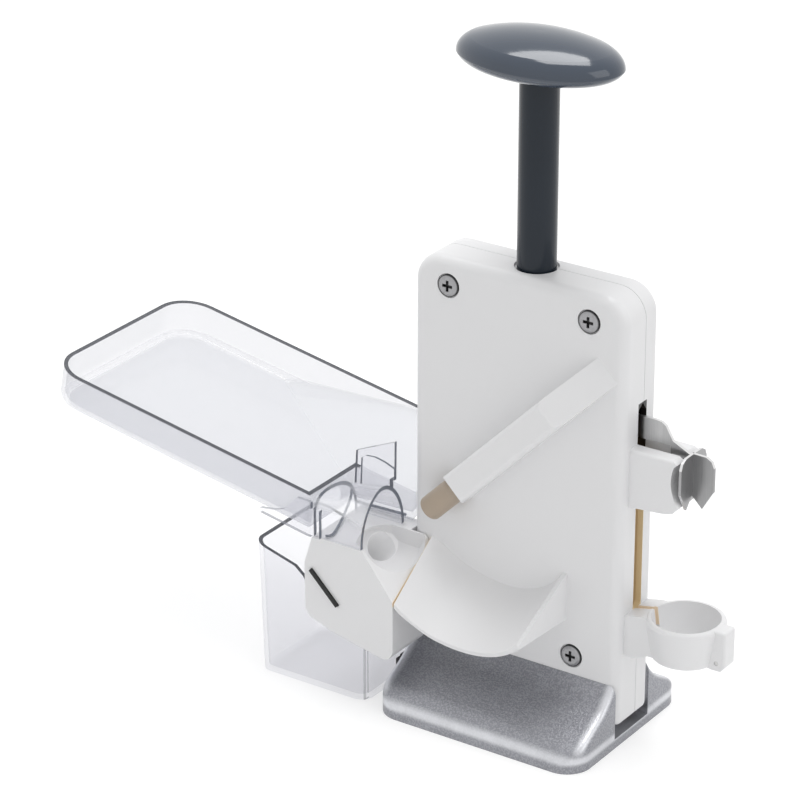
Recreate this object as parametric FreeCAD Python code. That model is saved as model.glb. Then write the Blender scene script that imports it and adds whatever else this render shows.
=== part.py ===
import FreeCAD
import Part

import math
import os

# Bench-top cherry and plum pitter, pressed by a vertical plunger with a palm knob.
# Frame: X to the right, Y away from the viewer, Z up. The bench is z = 0 and the
# plunger runs on the Z axis. The pitting pin runs down to the left at 45 degrees in
# front of the case, into the cherry seat. All lengths in millimetres.

V = FreeCAD.Vector
ROOT2 = math.sqrt(2.0)
os.makedirs("parts", exist_ok=True)

# Case.
CASE_HALF_W = 52.2        # half width
CASE_TOP = 207.5
CASE_BOTTOM = 9.6         # underside, between the wings of the base
CASE_FRONT = -14.4        # front plane
CASE_REAR = 13.0          # rear plane
PART_Y = 2.0              # parting plane between the two shells
CASE_CORNER = 13.0        # upper corners, seen from the front
CASE_FOOT_R = 2.0         # lower corners
CASE_WALL = 2.6
FRONT_FILLET = 4.6
REAR_FILLET = 3.8
SEAM = 0.35               # width and depth of the seam groove
FIT = 0.3                 # clearance between pieces that are taken off or slide

# Plunger tube, its bush and the palm knob.
TUBE_R = 8.45
TUBE_BORE = 6.2
TUBE_TOP = 299.5
TUBE_LOW = 165.0
CROSS_PIN_Z = 178.0
CROSS_PIN_R = 1.5
BUSH_R = 9.6
BUSH_FLANGE_R = 10.2
BUSH_LOW = 197.5
BUSH_CLEAR = 0.06
KNOB_A = 38.0             # half length in X
KNOB_B = 24.0             # half width in Y
KNOB_RISE = 12.0          # dome above the widest line
KNOB_DROP = 4.8           # underside below it
KNOB_EDGE_Z = TUBE_TOP - 1.0
TRAVEL = 80.0             # plunger travel

# Slanted pitting pin. Places along its axis are distances downwards from x = 0.
AXIS_D = 131.6            # pin axis: z = x + AXIS_D
PIN_Y = -22.0             # depth of the pin axis
PIN_R = 1.6
STROKE = TRAVEL / ROOT2
HOOD_HALF = 6.8           # half width of the hood
HOOD_RISE = 7.5           # from the pin axis to the hood's flat crest
HOOD_CORNER = 2.4
HOOD_WALL = 1.0
SLEEVE_R = 5.6
S_HOOD_END = 37.4
S_SLEEVE_END = 53.5
S_HOOD_TOP = -(CASE_HALF_W - 8.2) * ROOT2
S_HOOD_CREST = S_HOOD_TOP + 29.2
S_TIP = 57.0
S_FOLLOW = -28.1          # follower peg of the pin slide
FOLLOW_R = 2.5
SLIDER_UP = 5.9           # slide body above the follower
SLIDER_DOWN = 3.2         # and below it
S_HOLE = 88.0             # where the pit hole starts in the cherry seat
S_SEAL = 111.4
CUP_R = 15.3
CUP_WALL_DEEP = 6.0       # straight side of the cup
CUP_CONE_DEEP = 10.0      # and its cone below
CUP_LOW_R = 7.0
PIT_HOLE_R = 6.4

# Catch chute under the pin.
CHUTE_FRONT = -44.0
CHUTE_T = 2.3
SEAM_X = -42.3            # left end of the chute, where the cherry seat begins
SEAM_GAP = 0.7

# Side slot, stripper cheeks, star blade and plum ring.
SLOT_Y = 1.0              # middle of the slot and of the blade
SLOT_W = 6.4
SLOT_LOW = 61.4
SLOT_HIGH = 157.6
BLADE_X = CASE_HALF_W + 24.8
BLADE_R = 10.4
BLADE_T = 1.2
BLADE_LOW = 122.4         # notch between the points
BLADE_POINT = 117.0
BLADE_TOP = 141.0
PLATE_T = 1.5
RIVET_R = 1.1
RING_X = CASE_HALF_W + 24.4
RING_TOP = 64.3
RING_BOTTOM = 46.3
RING_R = 17.3
RING_WALL = 2.4
RING_PIN_Z = 49.6

# Case screws.
SCREW_HEAD_R = 5.0
SCREW_IN = 17.6           # from the case's side to the upper screws
SCREW_DOWN = 12.2
SCREW_LOW_IN = 22.8
SCREW_UP = 29.0
BOSS_R = 4.2

# Base.
BASE_HALF_W = 52.2
BASE_FRONT = -46.4
BASE_REAR = 42.6
BASE_LOW = 0.0            # flush with the rubber pads
BASE_JOIN = 30.0          # height where the wings meet the case
BASE_CORNER = 12.0
BASE_EDGE_R = 3.0
SLOT_FLOOR = 4.6
FOOT_R = 5.0
FOOT_H = 3.2

# Hopper tray, in a frame that falls towards the seat.
TILT = 10.25              # degrees
TRAY_X = -86.0            # exit end of the rim
TRAY_Z = 95.6
TRAY_FRONT = -44.0
TRAY_BACK = 56.5
TRAY_LEN = 145.9
TRAY_DEPTH = 18.2
TRAY_STEP_Y = -8.6
TRAY_WALL = 1.9
TRAY_R = 17.0
TRAY_RIGHT = (-CASE_HALF_W - 1.8 - TRAY_X) / math.cos(math.radians(TILT))

# Pit container.
CON_X0 = -119.4
CON_X1 = -(max(CASE_HALF_W, BASE_HALF_W) + 7.0)
CON_Y0 = -41.2
CON_Y1 = 9.0
CON_LOW = 0.4
CON_WALL = 1.8
CON_R = 6.5

# Return spring and its guide.
SPRING_LOW = 15.0
SPRING_HIGH = 141.0
SPRING_R = 6.3
WIRE_R = 0.85
SPRING_TURNS = 7.0
WIRE_SIDES = 6
GUIDE_R = 3.6

NODES = {}


# Small helpers.
def box(x0, x1, y0, y1, z0, z1):
    return Part.makeBox(x1 - x0, y1 - y0, z1 - z0, V(x0, y0, z0))


def cyl(r, base, axis, length):
    return Part.makeCylinder(r, length, V(*base), V(*axis))


def cone(r1, r2, base, axis, length):
    return Part.makeCone(r1, r2, length, V(*base), V(*axis))


def prism(points, along):
    # Flat outline through the given points, pushed along a vector.
    corners = [V(*p) for p in points]
    return Part.Face(Part.makePolygon(corners + [corners[0]])).extrude(V(*along))


def prism_xz(points, y0, y1):
    return prism([(x, y0, z) for x, z in points], (0, y1 - y0, 0))


def prism_yz(points, x0, x1):
    return prism([(x0, y, z) for y, z in points], (x1 - x0, 0, 0))


def prism_xy(points, z0, z1):
    return prism([(x, y, z0) for x, y in points], (0, 0, z1 - z0))


def line(a, b):
    return Part.makeLine(V(*a), V(*b))


def arc(a, m, b):
    return Part.Arc(V(*a), V(*m), V(*b)).toShape()


def spline_edge(points):
    curve = Part.BSplineCurve()
    curve.interpolate([V(*p) for p in points])
    return curve.toShape()


def arc_points(cx, cy, r, a0, a1, n):
    out = []
    for i in range(n + 1):
        a = math.radians(a0 + (a1 - a0) * i / n)
        out.append((cx + r * math.cos(a), cy + r * math.sin(a)))
    return out


def fuse_all(shapes):
    whole = shapes[0]
    for other in shapes[1:]:
        whole = whole.fuse(other)
    return whole


def fillet(shape, radius, test):
    edges = [e for e in shape.Edges if test(e.BoundBox)]
    return shape.makeFillet(radius, edges)


def round_rect(x0, x1, y0, y1, z, radii):
    # Corner radii in the order left-front, right-front, right-back, left-back.
    corners = ((x0, y0, 0, 1), (x1, y0, -1, 0), (x1, y1, 0, -1), (x0, y1, 1, 0))
    edges = []
    ends = []
    for (cx, cy, ax, ay), r in zip(corners, radii):
        bx, by = -ay, ax
        if (ax, ay) in ((0, 1), (0, -1)):
            bx, by = ay, 0
        else:
            bx, by = 0, -ax
        start = V(cx + ax * r, cy + ay * r, z)
        stop = V(cx + bx * r, cy + by * r, z)
        k = r * (1.0 - math.sqrt(0.5))
        middle = V(cx + (ax + bx) * k, cy + (ay + by) * k, z)
        ends.append((start, middle, stop, r))
    for i, (start, middle, stop, r) in enumerate(ends):
        if r > 0:
            edges.append(Part.Arc(start, middle, stop).toShape())
        follow = ends[(i + 1) % 4][0]
        edges.append(Part.makeLine(stop, follow))
    return Part.Wire(edges)


def on_axis(s, side=0.0, y=PIN_Y):
    # Point on the pin axis at distance s downwards, moved sideways in the XZ plane.
    x = -s / ROOT2 + side / ROOT2
    z = AXIS_D - s / ROOT2 - side / ROOT2
    return (x, y, z)


DOWN = (-1.0 / ROOT2, 0.0, -1.0 / ROOT2)


def wedge(points, half):
    # Solid spanned by (s, y) points, wide across the pin axis.
    return prism([on_axis(s, -half, y) for s, y in points], (2 * half / ROOT2, 0, -2 * half / ROOT2))


def plane_normal(p, q, r):
    # Upward normal of the plane through three points.
    n = (V(*q) - V(*p)).cross(V(*r) - V(*p))
    if n.z < 0:
        n = n * -1
    n.normalize()
    return n


def below_plane(p, q, r, drop):
    # Thick slab whose upper face is the plane through three points.
    n = plane_normal(p, q, r)
    slab = Part.makeBox(600, 600, 80, V(-300, -300, -80))
    slab.Placement = FreeCAD.Placement(V(*p) - n * drop, FreeCAD.Rotation(V(0, 0, 1), n))
    return slab


def save(name, shape):
    shape = shape.removeSplitter()
    if shape.ShapeType == "Compound" and len(shape.Solids) == 1:
        shape = shape.Solids[0]
    shape.exportStep("parts/" + name + ".step")
    NODES[name] = shape
    print(name, "solids", len(shape.Solids), "valid", shape.isValid(), "volume", round(shape.Volume, 1))


# Case body. The outline is a rectangle with large upper corners.
def case_wire(inset, y):
    r = CASE_CORNER - inset
    w = CASE_HALF_W - inset
    top = CASE_TOP - inset
    low = CASE_BOTTOM + inset
    k = r * (1.0 - math.sqrt(0.5))
    q = CASE_FOOT_R
    kq = q * (1.0 - math.sqrt(0.5))
    return Part.Wire([
        line((-w + q, y, low), (w - q, y, low)),
        arc((w - q, y, low), (w - kq, y, low + kq), (w, y, low + q)),
        line((w, y, low + q), (w, y, top - r)),
        arc((w, y, top - r), (w - k, y, top - k), (w - r, y, top)),
        line((w - r, y, top), (-w + r, y, top)),
        arc((-w + r, y, top), (-w + k, y, top - k), (-w, y, top - r)),
        line((-w, y, top - r), (-w, y, low + q)),
        arc((-w, y, low + q), (-w + kq, y, low + kq), (-w + q, y, low)),
    ])


def case_prism(inset, y0, y1):
    return Part.Face(case_wire(inset, y0)).extrude(V(0, y1 - y0, 0))


above_foot = CASE_BOTTOM + CASE_FOOT_R + 0.5
outer = case_prism(0.0, CASE_FRONT, CASE_REAR)
outer = fillet(outer, FRONT_FILLET, lambda b: b.YMax < CASE_FRONT + 0.01 and b.ZMax > above_foot)
outer = fillet(outer, REAR_FILLET, lambda b: b.YMin > CASE_REAR - 0.01 and b.ZMax > above_foot)
inner = case_prism(CASE_WALL, CASE_FRONT + CASE_WALL, CASE_REAR - CASE_WALL)
FAR = 2 * CASE_TOP
front_half = box(-FAR, FAR, -FAR, PART_Y, 0, FAR)
rear_half = box(-FAR, FAR, PART_Y, FAR, 0, FAR)
seam_cut = case_prism(-1.0, PART_Y - SEAM / 2, PART_Y + SEAM / 2)
seam_cut = seam_cut.cut(case_prism(SEAM, PART_Y - SEAM, PART_Y + SEAM))
tube_hole = cyl(BUSH_R, (0, 0, BUSH_LOW - 1), (0, 0, 1), CASE_TOP - BUSH_LOW + 10)

slot_half = SLOT_W / 2
slot_outline = arc_points(SLOT_Y, SLOT_LOW + slot_half, slot_half, 180, 360, 10)
slot_outline += [
    (SLOT_Y + slot_half, SLOT_HIGH - 4.0),
    (SLOT_Y, SLOT_HIGH),
    (SLOT_Y - slot_half, SLOT_HIGH - 2.6),
]
side_slot = prism_yz(slot_outline, CASE_HALF_W - CASE_WALL - 3, CASE_HALF_W + 2)

# The ring's tongue and the seat's tab are pushed into these two holes in the case.
TONGUE_Y = (SLOT_Y - 3.4, SLOT_Y + 3.8)
TONGUE_Z = (45.0, 56.0)
TAB_Y = (-10.2, -5.0)
TAB_Z = (54.0, 64.0)
TAB_DEEP = 7.6
TUCK = 0.1
tongue_hole = box(CASE_HALF_W - 8, CASE_HALF_W + 1, *TONGUE_Y, *TONGUE_Z)
tab_hole = box(-CASE_HALF_W - 1, -CASE_HALF_W + TAB_DEEP + TUCK, *TAB_Y, *TAB_Z)


# Hood of the pin slide: a flat crest with rounded corners on straight flanks.
def hood_solid(half, rise, corner, s0, s1, depth_y):
    crest = PIN_Y - rise
    k = corner * (1.0 - math.sqrt(0.5))

    def p(side, y):
        return on_axis(s0, side, y)

    section = Part.Wire([
        line(p(-half, depth_y), p(-half, crest + corner)),
        arc(p(-half, crest + corner), p(-half + k, crest + k), p(-half + corner, crest)),
        line(p(-half + corner, crest), p(half - corner, crest)),
        arc(p(half - corner, crest), p(half - k, crest + k), p(half, crest + corner)),
        line(p(half, crest + corner), p(half, depth_y)),
        line(p(half, depth_y), p(-half, depth_y)),
    ])
    return Part.Face(section).extrude(V(*DOWN) * (s1 - s0))


def hood_bevel(lift):
    # Everything in front of the sloping facet at the hood's upper end.
    crest = PIN_Y - HOOD_RISE
    slope = (CASE_FRONT - crest) / (S_HOOD_CREST - S_HOOD_TOP)
    run = 12.0
    return wedge([
        (S_HOOD_CREST, crest + lift),
        (S_HOOD_CREST, crest - 6),
        (S_HOOD_TOP - run, crest - 6),
        (S_HOOD_TOP - run, CASE_FRONT + slope * run + lift),
    ], 2 * HOOD_HALF)


crest_y = PIN_Y - HOOD_RISE
hood = hood_solid(HOOD_HALF, HOOD_RISE, HOOD_CORNER, S_HOOD_TOP - 6, S_HOOD_END, CASE_FRONT + 1.0)
hood_mouth = wedge([
    (S_HOOD_END, PIN_Y),
    (S_HOOD_END - 6.8, crest_y - 1),
    (S_HOOD_END + 6, crest_y - 1),
    (S_HOOD_END + 6, PIN_Y),
], 2 * HOOD_HALF)
hood = hood.cut(hood_bevel(0.0)).cut(hood_mouth)
hood = hood.common(case_prism(1.0, crest_y - 1, CASE_FRONT + 2))
cavity = hood_solid(HOOD_HALF - HOOD_WALL, HOOD_RISE - HOOD_WALL, HOOD_CORNER - 0.2,
                    S_HOOD_TOP + 4, S_HOOD_END + 2, CASE_FRONT)
cavity = cavity.cut(hood_bevel(HOOD_WALL + 0.6))

# Opening in the front wall for the follower of the pin slide.
s_high = S_FOLLOW - FOLLOW_R - 0.9
s_low = S_FOLLOW + STROKE + FOLLOW_R + 0.9
follow_slot = wedge([
    (s_high, CASE_FRONT - 0.5),
    (s_low, CASE_FRONT - 0.5),
    (s_low, CASE_FRONT + CASE_WALL + 1.4),
    (s_high, CASE_FRONT + CASE_WALL + 1.4),
], FOLLOW_R + 0.6)

# Catch chute. Its floor is ruled from a curve on the case's face to the curve of its rim.
face_curve = [(SEAM_X, 76.2), (-35.5, 73.0), (-27.7, 68.6), (-17.4, 65.0), (-7.1, 63.2), (3.1, 63.4),
              (12.5, 66.4), (20.0, 71.4), (24.6, 77.2)]
rim_curve = [(SEAM_X, 55.2), (-34.5, 50.2), (-26.0, 46.6), (-17.0, 44.7), (-8.0, 44.0), (1.0, 44.6),
             (9.6, 46.9), (15.2, 49.7), (19.6, 53.4)]
under_curve = [(-44.2, 58.2), (-42.9, 54.2), (-34.6, 48.7), (-26.0, 45.1), (-17.0, 43.1), (-8.0, 42.4),
               (1.0, 43.0), (9.8, 45.2), (16.0, 48.2), (20.6, 51.4), (28.4, 56.0)]
WEDGE_FRONT_X = 21.4      # right wall of the chute at its rim
WEDGE_FACE_X = 26.6       # and where it meets the case
ROOF_Z = 130.0


def above_floor(drop):
    # Solid above the ruled floor, with straight run-outs past both of its ends.
    reach = 14.0
    over = 3.0
    wires = []
    for y in (CHUTE_FRONT - over, CASE_FRONT + over):
        t = (y - CHUTE_FRONT) / (CASE_FRONT - CHUTE_FRONT)
        curve = []
        for (xr, zr), (xf, zf) in zip(rim_curve, face_curve):
            curve.append((xr + (xf - xr) * t, y, zr + (zf - zr) * t - drop))
        first, last = curve[0], curve[-1]
        far_left = (first[0] - reach, y, first[2] + 0.6 * reach)
        far_right = (last[0] + reach, y, last[2] + 0.1 * reach)
        top_left = (far_left[0], y, ROOF_Z)
        top_right = (far_right[0], y, ROOF_Z)
        wires.append(Part.Wire([
            line(far_left, first),
            spline_edge(curve),
            line(last, far_right),
            line(far_right, top_right),
            line(top_right, top_left),
            line(top_left, far_left),
        ]))
    return Part.makeLoft(wires, True, True)


def chute_block(lift, y0, y1, wall):
    # Block above the under skin, left of the slanting right wall.
    curve = [(x, y0, z + lift) for x, z in under_curve]
    first, last = curve[0], curve[-1]
    section = Part.Wire([
        spline_edge(curve),
        line(last, (last[0], y0, ROOF_Z - 35)),
        line((last[0], y0, ROOF_Z - 35), (first[0], y0, ROOF_Z - 35)),
        line((first[0], y0, ROOF_Z - 35), first),
    ])
    block = Part.Face(section).extrude(V(0, y1 - y0, 0))
    slope = (WEDGE_FACE_X - WEDGE_FRONT_X) / (CASE_FRONT - CHUTE_FRONT)
    x0 = WEDGE_FRONT_X + slope * (y0 - CHUTE_FRONT) - wall
    x1 = WEDGE_FRONT_X + slope * (y1 - CHUTE_FRONT) - wall
    return block.cut(prism_xy([(x0, y0), (x1, y1), (60, y1), (60, y0)], 0, ROOF_Z))


chute = chute_block(0.0, CHUTE_FRONT, CASE_FRONT + 1.0, 0.0).cut(above_floor(0.0))
hollow = chute_block(2.4, CHUTE_FRONT + 2.6, CASE_FRONT + CASE_WALL + 0.5, CHUTE_T).cut(above_floor(CHUTE_T))
hollow = hollow.cut(box(-60, SEAM_X + CHUTE_T, -60, 0, 0, ROOF_Z))

seat_side = box(-CASE_HALF_W - 20, SEAM_X, CHUTE_FRONT - 20, CASE_FRONT, 30, 110)

# Stripper cheeks beside the side slot: fixed blocks that scrape fruit off the blade.
CHEEK_LOW = 113.2
CHEEK_TOP = 139.8
CHEEK_END = BLADE_X - 1.4
CHEEK_ARC_X = BLADE_X + 14.7
CHEEK_ARC_R = 19.4
root_x = CASE_HALF_W - CASE_WALL + 0.4
cheek_outline = [(root_x, CHEEK_LOW), (BLADE_X - 7.5, CHEEK_LOW + 1.6), (BLADE_X - 3.4, CHEEK_LOW + 2.8)]
for x, z in arc_points(CHEEK_ARC_X, 130.3, CHEEK_ARC_R, 218, 140, 12):
    if CHEEK_LOW + 4.8 < z < CHEEK_TOP - 2.6:
        cheek_outline.append((min(x, CHEEK_END), z))
cheek_outline += [(BLADE_X - 2.0, CHEEK_TOP - 1.4), (BLADE_X - 4.4, CHEEK_TOP), (root_x, CHEEK_TOP)]
cheek_front = prism_xz(cheek_outline, SLOT_Y - 9.8, SLOT_Y - 3.4)
cheek_rear = prism_xz(cheek_outline, SLOT_Y + 3.4, SLOT_Y + 9.0)
cheek_front = fillet(cheek_front, 1.6, lambda b: b.YMax < SLOT_Y - 9.79 and b.ZMin > CHEEK_TOP - 0.1)

# Screw places, bosses and holes.
screw_spots = []
for side in (-1, 1):
    screw_spots.append((side * (CASE_HALF_W - SCREW_IN), CASE_TOP - SCREW_DOWN))
    screw_spots.append((side * (CASE_HALF_W - SCREW_LOW_IN), CASE_BOTTOM + SCREW_UP))
front_bosses = []
rear_bosses = []
for sx, sz in screw_spots:
    front_bosses.append(cyl(BOSS_R, (sx, CASE_FRONT + 1.0, sz), (0, 1, 0), PART_Y - CASE_FRONT - 1.0))
    rear_bosses.append(cyl(BOSS_R, (sx, PART_Y, sz), (0, 1, 0), CASE_REAR - PART_Y - 1.0))

# Rails on which the slide pads of the carriage run.
CAM_HALF_W = 27.0
PAD_T = 2.2
rails = []
for side in (-1, 1):
    inner_x = CAM_HALF_W + PAD_T + FIT
    x0, x1 = sorted((side * inner_x, side * (inner_x + 2.5)))
    rails.append(box(x0, x1, CASE_FRONT + CASE_WALL - 0.1, CASE_FRONT + 6.0, 58.0, 192.0))

# Posts for the base screws.
POST_X = 30.0
POST_R = 4.5
POST_H = 12.0
BASE_SCREW_R = 1.6

front_shell = fuse_all([outer.common(front_half).cut(inner), hood, chute, cheek_front] + front_bosses + rails)
front_shell = front_shell.cut(cavity).cut(hollow).cut(seat_side)
rear_shell = fuse_all([outer.common(rear_half).cut(inner), cheek_rear] + rear_bosses)
for sx, sz in screw_spots:
    recess = cyl(SCREW_HEAD_R + 0.5, (sx, CASE_FRONT - 1, sz), (0, 1, 0), 1.9)
    hole = cyl(1.9, (sx, CASE_FRONT - 1, sz), (0, 1, 0), PART_Y - CASE_FRONT + 1)
    pilot = cyl(1.5, (sx, PART_Y - 0.5, sz), (0, 1, 0), 8.5)
    front_shell = front_shell.cut(recess).cut(hole)
    rear_shell = rear_shell.cut(pilot)
for tool in (seam_cut, tube_hole, side_slot, tongue_hole, tab_hole, follow_slot):
    front_shell = front_shell.cut(tool)
    rear_shell = rear_shell.cut(tool)
for bx in (-POST_X, POST_X):
    post = cyl(POST_R, (bx, 0, CASE_BOTTOM + 1), (0, 0, 1), POST_H - 1)
    bore = cyl(BASE_SCREW_R, (bx, 0, CASE_BOTTOM - 1), (0, 0, 1), POST_H)
    front_shell = front_shell.fuse(post.common(front_half)).cut(bore)
    rear_shell = rear_shell.fuse(post.common(rear_half)).cut(bore)
save("front_shell", front_shell)
save("rear_shell", rear_shell)

# Case screws: a flat pan head with a bevelled rim and a cross recess.
screws = []
HEAD_Y = CASE_FRONT + 0.9
for sx, sz in screw_spots:
    head = cyl(SCREW_HEAD_R, (sx, HEAD_Y - 1.0, sz), (0, 1, 0), 1.0)
    cap = cone(SCREW_HEAD_R - 1.4, SCREW_HEAD_R, (sx, HEAD_Y - 1.8, sz), (0, 1, 0), 0.8)
    shank = cyl(1.45, (sx, HEAD_Y - 0.2, sz), (0, 1, 0), 20.0)
    across = box(sx - 2.5, sx + 2.5, HEAD_Y - 2.1, HEAD_Y - 0.5, sz - 0.7, sz + 0.7)
    upright = box(sx - 0.7, sx + 0.7, HEAD_Y - 2.1, HEAD_Y - 0.5, sz - 2.5, sz + 2.5)
    screws.append(fuse_all([head, cap, shank]).cut(across).cut(upright))
save("case_screws", Part.makeCompound(screws))

# Bush, tube, knob and its screw.
bush = cyl(BUSH_R, (0, 0, BUSH_LOW), (0, 0, 1), CASE_TOP - 1.2 - BUSH_LOW)
flange_top = CASE_TOP - CASE_WALL
bush = bush.fuse(cyl(BUSH_FLANGE_R, (0, 0, BUSH_LOW + 0.5), (0, 0, 1), flange_top - BUSH_LOW - 0.5))
bush = bush.cut(cyl(TUBE_R + BUSH_CLEAR, (0, 0, BUSH_LOW - 5), (0, 0, 1), 30))
save("tube_bush", bush)

TUBE_LID = 4.0
tube = cyl(TUBE_R, (0, 0, TUBE_LOW), (0, 0, 1), TUBE_TOP - TUBE_LOW)
tube = tube.cut(cyl(TUBE_BORE, (0, 0, TUBE_LOW - 5), (0, 0, 1), TUBE_TOP - TUBE_LOW + 5 - TUBE_LID))
tube = tube.cut(cyl(CROSS_PIN_R, (-20, 0, CROSS_PIN_Z), (1, 0, 0), 40))
tube = tube.cut(cyl(1.7, (0, 0, TUBE_TOP - TUBE_LID - 2), (0, 0, 1), TUBE_LID + 4))
save("plunger_tube", tube)

# The knob is turned from a flat dome with a tight edge, then stretched to an oval.
dome_r = 0.84 * KNOB_B
top_z = KNOB_EDGE_Z + KNOB_RISE
low_z = KNOB_EDGE_Z - KNOB_DROP
knob_section = Part.Wire([
    line((0, 0, low_z), (0, 0, top_z)),
    arc((0, 0, top_z), (0.46 * KNOB_B, 0, top_z - 0.115 * KNOB_RISE), (dome_r, 0, top_z - 0.43 * KNOB_RISE)),
    arc((dome_r, 0, top_z - 0.43 * KNOB_RISE), (0.962 * KNOB_B, 0, KNOB_EDGE_Z + 0.29 * KNOB_RISE),
        (KNOB_B, 0, KNOB_EDGE_Z)),
    arc((KNOB_B, 0, KNOB_EDGE_Z), (0.93 * KNOB_B, 0, KNOB_EDGE_Z - 0.6 * KNOB_DROP), (0.74 * KNOB_B, 0, low_z)),
    line((0.74 * KNOB_B, 0, low_z), (0, 0, low_z)),
])
knob = Part.Face(knob_section).revolve(V(0, 0, 0), V(0, 0, 1), 360)
stretch = FreeCAD.Matrix()
stretch.A11 = KNOB_A / KNOB_B
knob = knob.transformGeometry(stretch)
knob = knob.cut(cyl(TUBE_R, (0, 0, low_z - 5), (0, 0, 1), TUBE_TOP - low_z + 5))
knob = knob.cut(cyl(1.5, (0, 0, TUBE_TOP - 1), (0, 0, 1), 8))
save("plunger_knob", knob)

knob_screw = cyl(3.2, (0, 0, TUBE_TOP - TUBE_LID - 3.0), (0, 0, 1), 3.0)
knob_screw = knob_screw.fuse(cyl(1.5, (0, 0, TUBE_TOP - TUBE_LID - 0.5), (0, 0, 1), 11.0))
save("knob_screw", knob_screw)

# Carriage inside the case, with the cam slot that drives the pin slide.
fx, fy, fz = on_axis(S_FOLLOW)
CAM_BACK = CASE_FRONT + 5.7
CAM_FRONT = CASE_FRONT + 3.0
CAM_LOW = 143.6
CAM_HIGH = 196.8
ARM_Y = (SLOT_Y - 6.2, SLOT_Y + 6.2)
ARM_Z = (SPRING_HIGH, SPRING_HIGH + 11.6)
cam_r = FOLLOW_R + 0.1
cam_ends = [(fx, fz), (fx - TRAVEL / 2, fz + TRAVEL / 2)]
cam_parts = [cyl(cam_r, (x, CAM_FRONT - 2, z), (0, 1, 0), 6) for x, z in cam_ends]
n = cam_r / ROOT2
(ax, az), (bx, bz) = cam_ends
cam_parts.append(prism_xz([(ax - n, az - n), (ax + n, az + n), (bx + n, bz + n), (bx - n, bz - n)],
                          CAM_FRONT - 2, CAM_FRONT + 4))
cam_slot = fuse_all(cam_parts)

cam_plate = box(-CAM_HALF_W, CAM_HALF_W, CAM_FRONT, CAM_BACK, CAM_LOW, CAM_HIGH)
cam_plate = fillet(cam_plate, 4.0, lambda b: b.XLength < 0.01 and b.ZLength < 0.01)
column = box(-11, 11, CAM_BACK, 8.4, SPRING_HIGH, TUBE_LOW)
stem = cyl(TUBE_BORE - 0.05, (0, 0, TUBE_LOW - 1), (0, 0, 1), 28)
arm = box(10, CASE_HALF_W - 5.8, *ARM_Y, *ARM_Z)
PLATE_TOP = ARM_Z[1] - 0.7
plate_y = (SLOT_Y - PLATE_T / 2, SLOT_Y + PLATE_T / 2)
PLATE_START = 20.0
plate_low = SLOT_LOW + TRAVEL + 0.5
carriage = fuse_all([cam_plate, column, stem, arm]).cut(cam_slot)
carriage = carriage.cut(box(PLATE_START, CASE_HALF_W, *plate_y, ARM_Z[0] - 0.1, PLATE_TOP + 0.1))
carriage = carriage.cut(cyl(CROSS_PIN_R, (-20, 0, CROSS_PIN_Z), (1, 0, 0), 40))
ARM_RIVETS = ((27.0, 146.8), (39.0, 146.8))
for rx, rz in ARM_RIVETS:
    carriage = carriage.cut(cyl(1.6, (rx, -6, rz), (0, 1, 0), 14))
save("carriage", carriage)

save("cross_pin", cyl(CROSS_PIN_R, (-TUBE_R + 0.2, 0, CROSS_PIN_Z), (1, 0, 0), 2 * TUBE_R - 0.4))

pads = []
for side in (-1, 1):
    x0, x1 = sorted((side * CAM_HALF_W, side * (CAM_HALF_W + PAD_T)))
    pads.append(box(x0, x1, CAM_FRONT + 0.4, CAM_BACK - 0.4, CAM_LOW + 2.4, CAM_HIGH - 2.8))
save("slide_pads", Part.makeCompound(pads))

# Star blade: a flat plate that runs into the case, with two folded wings riveted to it.
b = BLADE_X
plate_outline = [
    (PLATE_START, plate_low), (b - BLADE_R + 0.1, plate_low), (b - BLADE_R + 0.1, BLADE_LOW + 2.1),
    (b - 5.4, BLADE_POINT), (b, BLADE_LOW), (b + 5.4, BLADE_POINT), (b + BLADE_R, BLADE_LOW + 3.2),
    (b + BLADE_R, BLADE_TOP - 4.4), (b + 9.2, BLADE_TOP - 1.6), (b + 6.6, BLADE_TOP - 0.1),
    (b + 0.4, BLADE_TOP), (b - 1.5, BLADE_TOP - 0.6), (b - 9.4, BLADE_TOP + 3.2), (b - 11.4, BLADE_TOP + 6.4),
    (b - 13.0, BLADE_TOP + 9.2), (b - 15.2, BLADE_TOP + 10.6), (b - 18.0, PLATE_TOP), (PLATE_START, PLATE_TOP),
]
plate = prism_xz(plate_outline, *plate_y)
WING_RIVETS = ((b - 6.4, 133.5), (b - 6.4, 126.0))
for rx, rz in ARM_RIVETS + WING_RIVETS:
    plate = plate.cut(cyl(RIVET_R, (rx, -3, rz), (0, 1, 0), 8))
save("blade_plate", plate)


def star_wing(sign):
    y0 = SLOT_Y + sign * PLATE_T / 2
    y_out = SLOT_Y + sign * BLADE_R
    wing = prism_yz([
        (y0, BLADE_LOW), (SLOT_Y + sign * 5.4, BLADE_POINT), (y_out, BLADE_LOW + 3.2), (y_out, BLADE_TOP - 4.4),
        (y_out - sign * 1.2, BLADE_TOP - 1.6), (y_out - sign * 3.8, BLADE_TOP - 0.1), (y0, BLADE_TOP),
    ], b - BLADE_T / 2, b + BLADE_T / 2)
    ya, yb = sorted((y0, y0 + sign * BLADE_T))
    sheet = wing.fuse(box(b - 9.6, b, ya, yb, BLADE_LOW + 0.2, BLADE_TOP - 2.4))
    for rx, rz in WING_RIVETS:
        sheet = sheet.cut(cyl(RIVET_R, (rx, -3, rz), (0, 1, 0), 8))
    return sheet


save("star_blade_front", star_wing(-1))
save("star_blade_rear", star_wing(1))

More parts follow.
